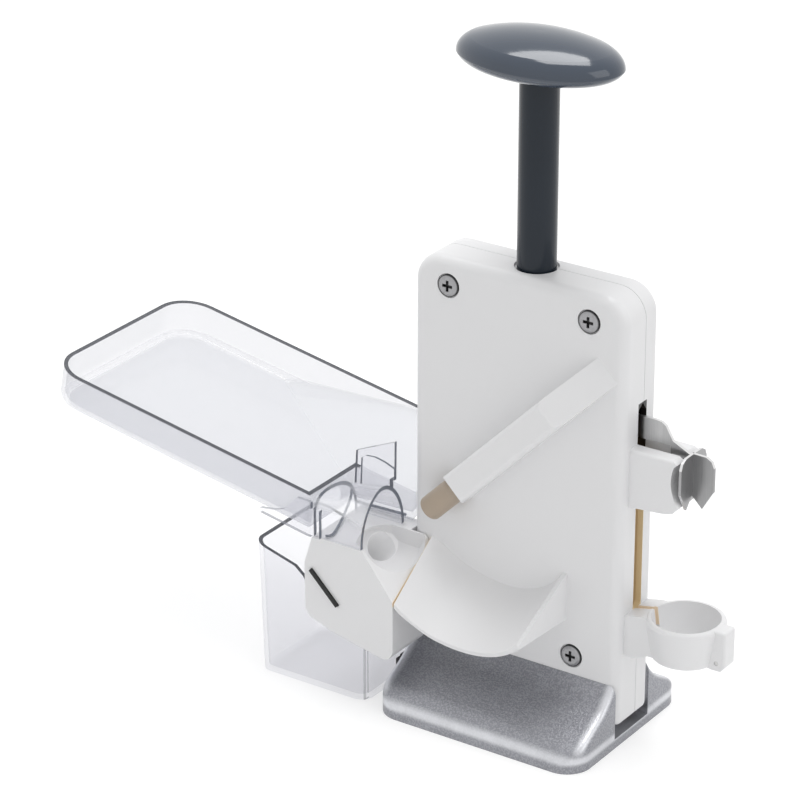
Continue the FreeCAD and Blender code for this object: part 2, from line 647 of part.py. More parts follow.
rivets = []
for rx, rz in ARM_RIVETS:
    waist = cyl(RIVET_R, (rx, plate_y[0], rz), (0, 1, 0), PLATE_T)
    front = cyl(1.6, (rx, ARM_Y[0], rz), (0, 1, 0), plate_y[0] - ARM_Y[0])
    rear = cyl(1.6, (rx, plate_y[1], rz), (0, 1, 0), ARM_Y[1] - plate_y[1])
    rivets.append(fuse_all([waist, front, rear]))
for rx, rz in WING_RIVETS:
    reach = PLATE_T / 2 + BLADE_T
    waist = cyl(RIVET_R, (rx, SLOT_Y - reach, rz), (0, 1, 0), 2 * reach)
    front = cyl(1.9, (rx, SLOT_Y - reach - 0.6, rz), (0, 1, 0), 0.6)
    rear = cyl(1.9, (rx, SLOT_Y + reach, rz), (0, 1, 0), 0.6)
    rivets.append(fuse_all([waist, front, rear]))
save("blade_rivets", Part.makeCompound(rivets))

# Pin slide with its follower peg, the pin and the guide sleeve in the hood.
slider = cyl(4.5, on_axis(S_FOLLOW - SLIDER_UP), DOWN, SLIDER_UP + SLIDER_DOWN)
peg = cyl(FOLLOW_R, (fx, PIN_Y, fz), (0, 1, 0), CAM_BACK - 0.2 - PIN_Y)
neck = wedge([
    (S_FOLLOW - SLIDER_DOWN, PIN_Y),
    (S_FOLLOW + SLIDER_DOWN, PIN_Y),
    (S_FOLLOW + SLIDER_DOWN, CASE_FRONT - 0.5),
    (S_FOLLOW - SLIDER_DOWN, CASE_FRONT - 0.5),
], 3.4)
slider = slider.fuse(neck).fuse(peg)
slider = slider.cut(cyl(PIN_R, on_axis(S_FOLLOW - 2.0), DOWN, 30))
save("pin_slider", slider)

PIN_CHAMFER = 1.6
pin = cyl(PIN_R, on_axis(S_FOLLOW - 2.0), DOWN, S_TIP - PIN_CHAMFER - S_FOLLOW + 2.0)
pin = pin.fuse(cone(PIN_R, 0.9, on_axis(S_TIP - PIN_CHAMFER), DOWN, PIN_CHAMFER))
save("pitting_pin", pin)

S_SLEEVE_TOP = S_FOLLOW + STROKE + SLIDER_DOWN + 0.8
sleeve = cyl(SLEEVE_R, on_axis(S_SLEEVE_TOP), DOWN, S_SLEEVE_END - S_SLEEVE_TOP)
sleeve = sleeve.cut(cyl(PIN_R + 0.12, on_axis(S_SLEEVE_TOP - 5), DOWN, S_SLEEVE_END - S_SLEEVE_TOP + 10))
save("pin_sleeve", sleeve)

# Plum ring: a goblet turned from its section, on a slit arm, with a pinned lug.
r_top = RING_R
r_low = RING_R - 2.6
rim_in = RING_R - RING_WALL
ring_section = [
    (5.0, RING_BOTTOM), (r_low - 0.6, RING_BOTTOM), (r_low, RING_BOTTOM + 0.6), (r_top - 0.1, RING_TOP - 2.4),
    (r_top, RING_TOP - 1.5), (r_top - 0.35, RING_TOP - 0.6), (r_top - 1.1, RING_TOP), (5.0, RING_TOP),
]
ring_face = Part.Face(Part.makePolygon([V(r, 0, z) for r, z in ring_section + [ring_section[0]]]))
ring = ring_face.revolve(V(0, 0, 0), V(0, 0, 1), 360)
ring.translate(V(RING_X, SLOT_Y, 0))
w = CASE_HALF_W
arm_outline = [(w, 43.2), (w + 4.8, 43.4), (w + 11.8, RING_BOTTOM), (RING_X - 4.0, RING_BOTTOM),
               (RING_X - 4.0, RING_TOP - 0.4), (w + 8.0, RING_TOP - 0.4), (w, 62.2)]
arm = prism_xz(arm_outline, SLOT_Y - 10.2, SLOT_Y + 9.0)
tip = RING_X + RING_R + 4.3
lug_outline = [(RING_X + 9.4, 47.0), (tip - 6.2, 46.0), (tip - 1.8, 46.2), (tip, 48.4), (tip, RING_TOP + 0.2),
               (RING_X + 11.4, RING_TOP + 0.2)]
lug = prism_xz(lug_outline, SLOT_Y - 4.8, SLOT_Y + 4.2)
lug = fillet(lug, 1.2, lambda b: b.XMin > tip - 0.01 or (b.ZMin > RING_TOP + 0.1 and b.YLength < 0.01))
ring = ring.fuse(arm).fuse(lug)
ring = ring.cut(cone(RING_R - 4.9, rim_in, (RING_X, SLOT_Y, RING_BOTTOM), (0, 0, 1), RING_TOP - RING_BOTTOM))
ring = ring.cut(cyl(RING_R - 4.9, (RING_X, SLOT_Y, RING_BOTTOM - 5), (0, 0, 1), 5.1))
ring = ring.cut(cyl(rim_in, (RING_X, SLOT_Y, RING_TOP - 0.05), (0, 0, 1), 5))
slit_half = PLATE_T / 2 + 0.4
ring = ring.cut(box(w - 1, RING_X - 8.0, SLOT_Y - slit_half, SLOT_Y + slit_half, 50.4, RING_TOP + 5))
ring = ring.cut(cyl(RIVET_R, (RING_X + RING_R + 0.3, -8, RING_PIN_Z), (0, 1, 0), 16))
tongue = box(w - 8, w + 0.2, TONGUE_Y[0] + TUCK, TONGUE_Y[1] - TUCK, TONGUE_Z[0] + TUCK, 49.9)
ring = ring.fuse(tongue)
save("plum_ring", ring)
save("ring_pin", cyl(RIVET_R, (RING_X + RING_R + 0.3, SLOT_Y - 4.5, RING_PIN_Z), (0, 1, 0), 8.4))


# Return spring: one wire on a helix, swept along arcs that share their tangents.
def helix_point(u):
    a = 2 * math.pi * SPRING_TURNS * u
    low = SPRING_LOW + WIRE_R
    rise = SPRING_HIGH - SPRING_LOW - 2 * WIRE_R
    return V(SPRING_R * math.cos(a), SPRING_R * math.sin(a), low + rise * u)


def helix_tangent(u):
    a = 2 * math.pi * SPRING_TURNS * u
    around = 2 * math.pi * SPRING_TURNS * SPRING_R
    t = V(-around * math.sin(a), around * math.cos(a), SPRING_HIGH - SPRING_LOW - 2 * WIRE_R)
    t.normalize()
    return t


def tangent_arc(p, t, q):
    # Arc from p to q that leaves p along the tangent t.
    chord = q - p
    along = t.dot(chord) / chord.Length
    angle = math.acos(max(-1.0, min(1.0, along)))
    rise = t - chord * (along / chord.Length)
    rise.normalize()
    middle = (p + q) * 0.5 + rise * (chord.Length / 2 * math.tan(angle / 2))
    return Part.Arc(p, middle, q).toShape()


def helix_path():
    # Two arcs that share a tangent for each half turn.
    steps = int(round(SPRING_TURNS * 2))
    edges = []
    for i in range(steps):
        p, q = helix_point(i / steps), helix_point((i + 1) / steps)
        t, u = helix_tangent(i / steps), helix_tangent((i + 1) / steps)
        a = 2 * (1 - t.dot(u))
        b2 = 2 * (q - p).dot(t + u)
        c = (q - p).dot(q - p)
        k = (math.sqrt(b2 * b2 + 4 * a * c) - b2) / (2 * a)
        join = (p + t * k + q - u * k) * 0.5
        turn = q - u * k - p - t * k
        turn.normalize()
        edges.append(tangent_arc(p, t, join))
        edges.append(tangent_arc(join, turn, q))
    return Part.Wire(edges)


def wire_section(sides):
    # Many-sided section of the spring wire, square to the start of the coil.
    t = helix_tangent(0.0)
    out = V(1, 0, 0)
    up = t.cross(out)
    corners = []
    for i in range(sides + 1):
        a = 2 * math.pi * (i + 0.5) / sides
        corners.append(helix_point(0.0) + out * (WIRE_R * math.cos(a)) + up * (WIRE_R * math.sin(a)))
    return Part.makePolygon(corners)


spring = helix_path().makePipeShell([wire_section(WIRE_SIDES)], True, False)
steps = 24 * int(SPRING_TURNS)
coil_gap = SPRING_HIGH
for i in range(steps + 1):
    for j in range(i + 12, min(i + 37, steps + 1)):
        near = (helix_point(i / steps) - helix_point(j / steps)).Length - 2 * WIRE_R
        coil_gap = min(coil_gap, near)
print("spring least gap to itself", round(coil_gap, 2))
save("return_spring", spring)

guide_low = CASE_BOTTOM + CASE_WALL
guide = cyl(GUIDE_R, (0, 0, guide_low), (0, 0, 1), 40)
guide = guide.fuse(cyl(SPRING_R + 2.9, (0, 0, guide_low), (0, 0, 1), SPRING_LOW - guide_low))
save("spring_guide", guide)


# Base: two wings that sweep down from the case to a rounded rim, joined under the case.
# The profile holds shares of the wing's depth, from the case outwards, with heights.
WING_PROFILE = [(0.0, BASE_JOIN), (0.12, 25.0), (0.27, 20.6), (0.49, 16.4), (0.7, 12.6), (0.84, 9.4),
                (0.93, 6.9), (0.985, 4.0)]


def wing(sign, y_face, y_rim):
    def p(t, z):
        return (-BASE_HALF_W, y_face + (y_rim - y_face) * t, z)

    section = Part.Wire([
        line(p(-0.1, BASE_LOW), p(-0.1, BASE_JOIN)),
        line(p(-0.1, BASE_JOIN), p(0.0, BASE_JOIN)),
        spline_edge([p(t, z) for t, z in WING_PROFILE]),
        line(p(*WING_PROFILE[-1]), p(1.0, 2.4)),
        line(p(1.0, 2.4), p(1.0, BASE_LOW)),
        line(p(1.0, BASE_LOW), p(-0.1, BASE_LOW)),
    ])
    body = Part.Face(section).extrude(V(2 * BASE_HALF_W, 0, 0))
    r = BASE_CORNER
    y0, y1 = sorted((y_face - sign * 10.0, y_rim))
    radii = (r, r, 0, 0) if sign < 0 else (0, 0, r, r)
    plan = Part.Face(round_rect(-BASE_HALF_W, BASE_HALF_W, y0, y1, 0, radii)).extrude(V(0, 0, 60))
    body = body.common(plan)

    def top_of_end(box_):
        at_end = min(abs(box_.XMax + BASE_HALF_W), abs(box_.XMin - BASE_HALF_W)) < 0.01 and box_.XLength < 0.01
        return at_end and box_.ZMin > 5.0 and box_.ZLength > 1.0 and box_.YLength > 3.0

    return fillet(body, BASE_EDGE_R, top_of_end)


gap = 0.1
base = wing(-1, CASE_FRONT - gap, BASE_FRONT).fuse(wing(1, CASE_REAR + gap, BASE_REAR))
base = base.fuse(box(-BASE_HALF_W, BASE_HALF_W, CASE_FRONT - 2, CASE_REAR + 2, BASE_LOW, SLOT_FLOOR))
base = base.cut(box(-BASE_HALF_W - 1, BASE_HALF_W + 1, CASE_FRONT - gap, CASE_REAR + gap, SLOT_FLOOR, 60))
for bx in (-POST_X, POST_X):
    base = base.fuse(box(bx - 9, bx + 9, -10, 9, SLOT_FLOOR - 1, CASE_BOTTOM))
    base = base.cut(cyl(2.0, (bx, 0, 0), (0, 0, 1), 20)).cut(cyl(4.2, (bx, 0, 0), (0, 0, 1), 5.0))
feet_spots = []
for fy_foot in (BASE_FRONT + 10.0, BASE_REAR - 10.0):
    for fx_foot in (-BASE_HALF_W + 10.2, BASE_HALF_W - 10.2):
        feet_spots.append((fx_foot, fy_foot))
for px, py in feet_spots:
    base = base.cut(cyl(FOOT_R, (px, py, 0), (0, 0, 1), FOOT_H))
# Shallow relief under each wing, between the feet.
RELIEF = 1.6
relief_x = BASE_HALF_W - 18.0
for y0, y1 in ((BASE_FRONT + 6.0, CASE_FRONT - 5.0), (CASE_REAR + 5.0, BASE_REAR - 6.0)):
    base = base.cut(box(-relief_x, relief_x, y0, y1, 0, BASE_LOW + RELIEF))
LATCH_Y = (-21.5, -16.1)
LATCH_Z = (11.4, 17.4)
latch_root = -BASE_HALF_W + 6.2
base = base.cut(box(-BASE_HALF_W - 1.8, latch_root, *LATCH_Y, *LATCH_Z))
save("base_foot", base)

feet = []
for px, py in feet_spots:
    foot = cone(FOOT_R - 0.6, FOOT_R, (px, py, 0.0), (0, 0, 1), 0.6)
    feet.append(foot.fuse(cyl(FOOT_R, (px, py, 0.6), (0, 0, 1), FOOT_H - 0.6)))
save("rubber_feet", Part.makeCompound(feet))

base_screws = []
for bx in (-POST_X, POST_X):
    head = cyl(4.0, (bx, 0, 2.4), (0, 0, 1), 2.6)
    shank = cyl(BASE_SCREW_R, (bx, 0, 4.0), (0, 0, 1), 15.0)
    cross = box(bx - 2.4, bx + 2.4, -0.6, 0.6, 2.0, 3.8).fuse(box(bx - 0.6, bx + 0.6, -2.4, 2.4, 2.0, 3.8))
    base_screws.append(head.fuse(shank).cut(cross))
save("base_screws", Part.makeCompound(base_screws))

hook_x = -BASE_HALF_W - 2.0
latch = box(hook_x, latch_root, *LATCH_Y, *LATCH_Z)
latch = latch.fuse(box(hook_x - 2.2, hook_x, LATCH_Y[0], LATCH_Y[1] + 1.8, LATCH_Z[0], LATCH_Z[0] + 3.2))
save("container_latch", latch)

# Cherry seat: a block whose sloping top face holds the cup, open below for the container.
SEAT_T = 2.4
SEAT_REAR = -5.0
SEAT_DECK = 76.15
seat_right = SEAM_X - SEAM_GAP
seat_outline = [(-85.2, 75.8), (-82.0, SEAT_DECK), (seat_right, SEAT_DECK), (seat_right, 30.6),
                (seat_right - 2.2, 27.2), (seat_right - 4.8, 26.5), (-76.0, 32.6), (-86.6, 36.4), (-89.2, 40.2),
                (-89.4, 62.2)]
# The collar round the cup slopes to the right and to the front, through these points.
collar = ((SEAM_X, CASE_FRONT, 72.4), (seat_right, CHUTE_FRONT, 55.2), (-59.4, CHUTE_FRONT, SEAT_DECK + 0.25))
cup_centre = V(-53.2, -28.3, 77.9)
case_side = -CASE_HALF_W - 0.7
seat = prism_xz(seat_outline, CHUTE_FRONT, CASE_FRONT - 0.4)
seat = fillet(seat, 1.2, lambda q: q.YLength > 20 and q.XMax > seat_right - 2.3 and q.ZMax < 54)
beside = prism_xz(seat_outline, CASE_FRONT - 2, SEAT_REAR)
seat = seat.fuse(beside.common(box(-120, case_side, -60, 20, 0, 120)))
seat = seat.common(below_plane(*collar, 0.0))
# Room for the container behind the front plate, and a hollow behind the right wall.
room = [(-100.0, 60.0), (-92.6, 54.4), (-82.2, 39.0), (-76.2, 37.2), (seat_right - SEAT_T, 37.2),
        (seat_right - SEAT_T, 20.0), (-100.0, 20.0)]
seat = seat.cut(prism_xz(room, CHUTE_FRONT + SEAT_T, 20))
collar_up = plane_normal(*collar)
cup_foot = cup_centre - collar_up * CUP_WALL_DEEP
cup = Part.makeCylinder(CUP_R, 40.0, cup_foot, collar_up)
cup = cup.fuse(Part.makeCone(CUP_R, CUP_LOW_R, CUP_CONE_DEEP, cup_foot, collar_up * -1))
seat = seat.cut(cup.common(box(-120, 0, -60, CASE_FRONT - 1.2, 0, 120)))
seat = seat.cut(cyl(PIT_HOLE_R, on_axis(S_HOLE), DOWN, 40))
# The wall over the base stops short of the base's sweep up to the case.
seat = seat.cut(box(case_side, 0, CASE_FRONT - 3.4, 0, 20, BASE_JOIN + 0.6))
SEAL_HALF = 10.0
SEAL_T = 0.8
seal_cut = wedge([
    (S_SEAL - SEAL_T - 0.1, -60),
    (S_SEAL + SEAL_T + 0.1, -60),
    (S_SEAL + SEAL_T + 0.1, -13.0),
    (S_SEAL - SEAL_T - 0.1, -13.0),
], SEAL_HALF + 0.2)
seat = seat.cut(seal_cut)
tab = box(case_side - 2, -CASE_HALF_W + TAB_DEEP, TAB_Y[0] + TUCK, TAB_Y[1] - TUCK, TAB_Z[0] + TUCK, TAB_Z[1] - TUCK)
seat = seat.fuse(tab)
save("cherry_seat", seat)

seal = wedge([
    (S_SEAL - SEAL_T, CHUTE_FRONT - 1.2),
    (S_SEAL + SEAL_T, CHUTE_FRONT - 1.2),
    (S_SEAL + SEAL_T, -13.4),
    (S_SEAL - SEAL_T, -13.4),
], SEAL_HALF)
slit = wedge([
    (S_SEAL - 2, PIN_Y - 0.12),
    (S_SEAL + 2, PIN_Y - 0.12),
    (S_SEAL + 2, PIN_Y + 0.12),
    (S_SEAL - 2, PIN_Y + 0.12),
], 3.6)
seal = seal.cut(slit).cut(cyl(PIN_R + 0.15, on_axis(S_SEAL - 3), DOWN, 6))
save("pit_seal", seal)


# Hopper tray, drawn level and then tilted.
def local(shape):
    # From the tray's own frame, rim at z = 0 and exit end at x = 0, to the whole frame.
    out = shape.copy()
    out.rotate(V(0, 0, 0), V(0, 1, 0), TILT)
    out.translate(V(TRAY_X, 0, TRAY_Z))
    return out


def tray_block(inset, depth, extra):
    r = TRAY_R - inset
    wire = round_rect(-TRAY_LEN + inset, -inset, TRAY_FRONT + inset, TRAY_BACK - inset, -depth, (r, 0, 0, r))
    left = Part.Face(wire).extrude(V(0, 0, depth + extra))
    right = box(-30, TRAY_RIGHT - inset, TRAY_STEP_Y + inset, TRAY_BACK - inset, -depth, extra)
    return left.fuse(right).removeSplitter()


def tray_bottom_edge(depth, inset):
    def test(q):
        low = q.ZMax < -depth + 0.01
        exit_end = q.XMin > -inset - 0.6
        step = abs(q.YMin - TRAY_STEP_Y - inset) < 0.01 and q.YLength < 0.01
        return low and not exit_end and not step

    return test


tray = tray_block(0.0, TRAY_DEPTH, 0.0)
tray = local(fillet(tray, 5.0, tray_bottom_edge(TRAY_DEPTH, 0.0)))
tray_in = tray_block(TRAY_WALL, TRAY_DEPTH - TRAY_WALL, 3.0)
tray_in = local(fillet(tray_in, 3.4, tray_bottom_edge(TRAY_DEPTH - TRAY_WALL, TRAY_WALL)))
# The floor's right rear rises as a ramp that turns the cherries towards the exit.
ramp = ((TRAY_X, -10.0, 78.2), (-150.5, 31.8, 88.6), (-56.0, 20.0, 88.0))
tray = tray.cut(below_plane(*ramp, TRAY_WALL + 0.3))
tray_in = tray_in.cut(below_plane(*ramp, 0.0))
tray = tray.cut(tray_in)
door = [(-39.6, 60.0), (-39.6, 86.0), (-35.0, 92.0), (-27.0, 93.6), (-20.0, 91.0), (-15.0, 84.0), (-15.0, 60.0)]
door_cut = prism_yz(door, TRAY_X - 6, TRAY_X + 2)
sill = local(box(-20, 10, -60, 20, -40, -TRAY_DEPTH + TRAY_WALL))
tray = tray.cut(door_cut.cut(sill))
save("hopper_tray", tray)

# Outlet tunnel over the cup: from the door in the tray's end wall to a free arch.
TUNNEL_LOW = SEAT_DECK + FIT
TUNNEL_X = (TRAY_X + 2.0, -59.2)
DOOR_ARCH = [(-44.2, 0.0), (-44.2, 8.6), (-43.4, 14.6), (-39.0, 18.4), (-31.0, 19.2), (-23.0, 18.0), (-16.0, 14.2),
             (-12.2, 8.0), (-11.2, 0.0)]
FREE_ARCH = [(-44.6, 0.0), (-43.4, 9.0), (-39.8, 16.2), (-34.4, 21.6), (-27.9, 23.8), (-21.4, 21.6), (-16.0, 16.2),
             (-12.4, 9.0), (-11.2, 0.0)]
TUNNEL_T = 1.8


def tunnel(inset, xa, xb, low):
    wires = []
    for outline, x in ((DOOR_ARCH, xa), (FREE_ARCH, xb)):
        middle = (outline[0][0] + outline[-1][0]) / 2
        span = abs(outline[0][0] - outline[-1][0]) / 2
        high = max(h for _, h in outline)
        moved = []
        for y, h in outline:
            moved.append((x, middle + (y - middle) * (span - inset) / span, TUNNEL_LOW + h * (high - inset) / high))
        first, last = moved[0], moved[-1]
        edges = [spline_edge(moved)]
        if low < TUNNEL_LOW:
            edges.append(line(last, (x, last[1], low)))
            edges.append(line((x, last[1], low), (x, first[1], low)))
            edges.append(line((x, first[1], low), first))
        else:
            edges.append(line(last, first))
        wires.append(Part.Wire(edges))
    return Part.makeLoft(wires, True, True)


outlet = tunnel(0.0, TUNNEL_X[0], TUNNEL_X[1], TUNNEL_LOW)
outlet = outlet.cut(tunnel(TUNNEL_T, TUNNEL_X[0] - 0.1, TUNNEL_X[1] + 0.1, 70.0))
lip_y = (TRAY_FRONT - 2.0, TRAY_FRONT - FIT)
lip = prism_xz([(-111.5, 83.4), (-104.0, 84.4), (-98.7, 86.2), (-94.5, 90.6), (-91.5, 93.6), (-84.4, 93.2),
                (-84.4, TUNNEL_LOW + 0.2), (-86.6, TUNNEL_LOW + 0.2), (-111.5, 81.2)], *lip_y)
link = box(TRAY_X + 0.4, -80.0, lip_y[0], TRAY_FRONT + 1.4, TUNNEL_LOW + 0.1, 90.0)
link = link.cut(box(-90, TUNNEL_X[0], lip_y[1], TRAY_FRONT + 2, 70, 100))
outlet = outlet.fuse(lip).fuse(link)
save("outlet_tunnel", outlet)

fin = prism_xz([(-77.6, 110.2), (-57.4, 119.2), (-57.6, 97.0), (-60.6, 96.0), (-78.6, 92.6)], -21.0, -19.4)
web = prism_xz([(-76.6, 93.0), (-76.0, 106.4), (-73.6, 108.0), (-69.0, 108.4), (-64.0, 107.4), (-58.8, 105.4),
                (-58.8, 96.4)], -19.4, -18.2)
fin = fin.fuse(web).cut(tunnel(-0.02, TUNNEL_X[0], TUNNEL_X[1], TUNNEL_LOW))
fin = fin.cut(box(TUNNEL_X[1] - 0.8, -57.4, -23, -17, 90, 101))
save("feed_fin", fin)


# Pit container: a drafted box whose rim falls under the seat.
def container_block(inset, low):
    r = CON_R - inset
    bottom = round_rect(CON_X0 + 2.4 + inset, CON_X1 - inset, CON_Y0 + inset, CON_Y1 - 1.0 - inset, low, (r, r, r, r))
    upper = round_rect(CON_X0 + inset, CON_X1 - inset, CON_Y0 + inset, CON_Y1 - inset, 66.0, (r, r, r, r))
    return Part.makeLoft([bottom, upper], True, True)


container = container_block(0.0, CON_LOW).cut(container_block(CON_WALL, CON_LOW + 2.0))
rim_cut = prism_xz([(-130, 66.2), (-119.6, 63.4), (-96.7, 57.0), (-92.4, 53.4), (-82.0, 38.0), (-76.0, 36.0),
                    (-40.0, 36.0), (-40.0, 90.0), (-130, 90.0)], -60, 40)
container = container.cut(rim_cut)
save("pit_container", container)

print("nodes", len(NODES))
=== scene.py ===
# %% [markdown]
# A bench-top cherry and plum pitter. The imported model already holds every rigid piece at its
# real size, so this lesson gives those pieces their finishes, winds the return spring, adds
# two thin ribs to the clear hopper, and lights the whole tool as on a pale studio table.

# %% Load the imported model
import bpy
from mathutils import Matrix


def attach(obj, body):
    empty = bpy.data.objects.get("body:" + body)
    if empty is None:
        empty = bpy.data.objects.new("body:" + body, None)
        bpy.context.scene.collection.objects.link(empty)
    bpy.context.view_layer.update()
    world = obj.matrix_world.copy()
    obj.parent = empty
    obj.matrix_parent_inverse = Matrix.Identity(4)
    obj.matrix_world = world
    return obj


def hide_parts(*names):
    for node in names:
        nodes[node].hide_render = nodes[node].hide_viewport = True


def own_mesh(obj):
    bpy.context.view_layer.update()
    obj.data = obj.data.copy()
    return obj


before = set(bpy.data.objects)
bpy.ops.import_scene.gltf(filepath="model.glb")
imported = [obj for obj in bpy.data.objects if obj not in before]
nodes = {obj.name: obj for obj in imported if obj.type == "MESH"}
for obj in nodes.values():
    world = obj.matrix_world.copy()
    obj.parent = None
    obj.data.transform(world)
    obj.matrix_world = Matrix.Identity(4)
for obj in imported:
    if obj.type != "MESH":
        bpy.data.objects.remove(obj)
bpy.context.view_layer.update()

import math

import bmesh
import bpy
from mathutils import Matrix, Vector

MM = 0.001
print("nodes in the model:", len(nodes))

# %% [markdown]
# The view is set first, because every later choice is judged through it. A long lens stands
# far from the tool, to the right and above, and looks down at about 24 degrees. A camera could
# be turned by hand until the picture fits. Here its axis is worked out from two angles, which
# can be read off and changed one at a time.

# %% Camera
AZIMUTH = math.radians(34.08)
ELEVATION = math.radians(24.38)
LENS_MM = 166.34
SENSOR_MM = 36.0
CAMERA_AT = Vector((751.85, -1213.03, 792.23)) * MM


def add_aimed(name, data, place, ahead):
    # A camera and an area lamp both look along their own -Z.
    thing = bpy.data.objects.new(name, data)
    bpy.context.scene.collection.objects.link(thing)
    thing.location = place
    thing.rotation_mode = "QUATERNION"
    thing.rotation_quaternion = ahead.to_track_quat("-Z", "Y")
    return thing


def add_camera():
    data = bpy.data.cameras.new("camera")
    data.lens = LENS_MM
    data.sensor_width = SENSOR_MM
    ahead = Vector((
        -math.sin(AZIMUTH) * math.cos(ELEVATION),
        math.cos(AZIMUTH) * math.cos(ELEVATION),
        -math.sin(ELEVATION),
    ))
    return add_aimed("camera", data, CAMERA_AT, ahead)


camera = add_camera()
bpy.context.scene.camera = camera
print("camera is", round(camera.location.length, 3), "m from the bench's origin")

# %% [markdown]
# A finish is a small graph of shader nodes. Typing each node and link by hand hides the idea,
# so one class wraps a socket: a sum or product of two sockets adds its Math node, and the
# graph reads as the formula that it is.

# %% Shader maths as expressions


def maths(operation, swapped=False):
    # A method that adds one Math node for two values.
    def method(self, other):
        pair = (other, self) if swapped else (self, other)
        return self.graph.node("ShaderNodeMath", {"operation": operation}, *pair)

    return method


class Sock:
    def __init__(self, graph, socket):
        self.graph = graph
        self.socket = socket

    __add__ = maths("ADD")
    __radd__ = maths("ADD", swapped=True)
    __sub__ = maths("SUBTRACT")
    __rsub__ = maths("SUBTRACT", swapped=True)
    __mul__ = maths("MULTIPLY")
    __rmul__ = maths("MULTIPLY", swapped=True)
    __gt__ = maths("GREATER_THAN")
    __lt__ = maths("LESS_THAN")
    larger = maths("MAXIMUM")

    def __abs__(self):
        return self.graph.node("ShaderNodeMath", {"operation": "ABSOLUTE"}, self)

    def rise(self, low, high):
        # A soft step from 0 at low to 1 at high.
        return self.graph.node(
            "ShaderNodeMapRange", {"interpolation_type": "SMOOTHSTEP", "clamp": True},
            self, low, high, 0.0, 1.0)


class Graph:
    # The nodes of a material or of the world, which start as an empty tree.
    def __init__(self, owner):
        self.owner = owner
        owner.use_nodes = True
        self.tree = owner.node_tree
        self.tree.nodes.clear()

    def node(self, kind, settings=None, *values, out=0, **named):
        made = self.tree.nodes.new(kind)
        for key, value in (settings or {}).items():
            setattr(made, key, value)
        inputs = [(made.inputs[i], value) for i, value in enumerate(values) if value is not None]
        inputs += [(made.inputs[key.replace("_", " ")], value) for key, value in named.items()]
        for socket, value in inputs:
            if isinstance(value, Sock):
                self.tree.links.new(value.socket, socket)
            else:
                socket.default_value = value
        return Sock(self, made.outputs[out])

    def outputs(self, sock, *which):
        # More outputs of the node that a socket belongs to.
        return [Sock(self, sock.socket.node.outputs[key]) for key in which]

    def split(self, vector):
        return self.outputs(self.node("ShaderNodeSeparateXYZ", None, vector), "X", "Y", "Z")

    def place(self):
        return self.node("ShaderNodeTexCoord", out="Object")

    def facing(self):
        # True normal of the surface, the same at every point of a flat face.
        return self.node("ShaderNodeNewGeometry", out="True Normal")

    def noise(self, vector, scale, detail=2.0, roughness=0.5):
        return self.node(
            "ShaderNodeTexNoise", Vector=vector, Scale=scale, Detail=detail, Roughness=roughness)

    def blend(self, mask, first, second):
        # A Mix node holds its two colours in the sockets 6 and 7, after numbers and vectors.
        return self.node(
            "ShaderNodeMix", {"data_type": "RGBA"}, mask, *[None] * 5, first, second, out=2)

    def bump(self, height, strength, distance):
        return self.node("ShaderNodeBump", Strength=strength, Distance=distance, Height=height)

    def shader(self, **named):
        return self.node("ShaderNodeBsdfPrincipled", **named)

    def see_through(self, tint, amount, solid):
        # Light goes straight through, except for the share that the solid shader takes.
        through = self.node("ShaderNodeBsdfTransparent", Color=tint)
        return self.node("ShaderNodeMixShader", None, amount, through, solid)

    def finish(self, surface, kind="ShaderNodeOutputMaterial"):
        output = self.tree.nodes.new(kind)
        self.tree.links.new(surface.socket, output.inputs[0])
        return self.owner


def new_finish(name):
    return Graph(bpy.data.materials.new(name))


print("a finish is written as a formula of sockets")

# %% [markdown]
# Finishes are told apart by their tone, so a colour is written as it looks on a screen and is
# turned into light once. Masks pick a region by its place or by the way a face looks. A soft
# step and a band of two soft steps are enough for all of them.

# %% Colours and masks
WHITE = (1.0, 1.0, 1.0, 1.0)
NO_LIGHT = (0.0, 0.0, 0.0, 1.0)
SCREEN_STEPS = 255.0


def rgb(red, green, blue):
    # The screen's own curve, undone for each of the three parts.
    def light(step):
        shown = step / SCREEN_STEPS
        return shown / 12.92 if shown <= 0.04045 else ((shown + 0.055) / 1.055) ** 2.4

    return (light(red), light(green), light(blue), 1.0)


def between(value, low, high):
    return (value > low) * (value < high)


def ridge(value, up, down):
    # Rises over the first span and falls over the second.
    return value.rise(*up) * (1.0 - value.rise(*down))


def give(names, material):
    for name in names:
        piece = nodes[name]
        piece.data.materials.clear()
        piece.data.materials.append(material)
    print(material.name, "on", ", ".join(names))


print("mid grey as light:", round(rgb(128, 128, 128)[0], 3))

# %% [markdown]
# The case, the chute, the cup and the plum ring are moulded in one white plastic. It is not
# a pure white: it is a satin surface that lets a little light in, so gaps and inner walls look
# warm and tan in their shade. Subsurface light would give that at a high price in time. Here a
# mask mixes a painted warm shade into the colour, with a painted glow as emission, only where
# a wall is thin or lies inside.

# %% White moulded plastic
WHITE_LOW = rgb(230, 230, 231)
WHITE_HIGH = rgb(236, 236, 237)
# Painted warm shade for inner walls and seams, painted deep shade where they are darkest, and a
# painted glow for thin walls.
WARM_SHADE = rgb(198, 178, 142)
SEAM_SHADE = rgb(222, 206, 184)
DEEP_SHADE = rgb(30, 28, 27)
THIN_WALL_GLOW = (0.11, 0.11, 0.11, 1.0)
CLOUD_SCALE = 18.0
SATIN_SCALE = 900.0
SATIN_DEPTH = 0.2 * MM


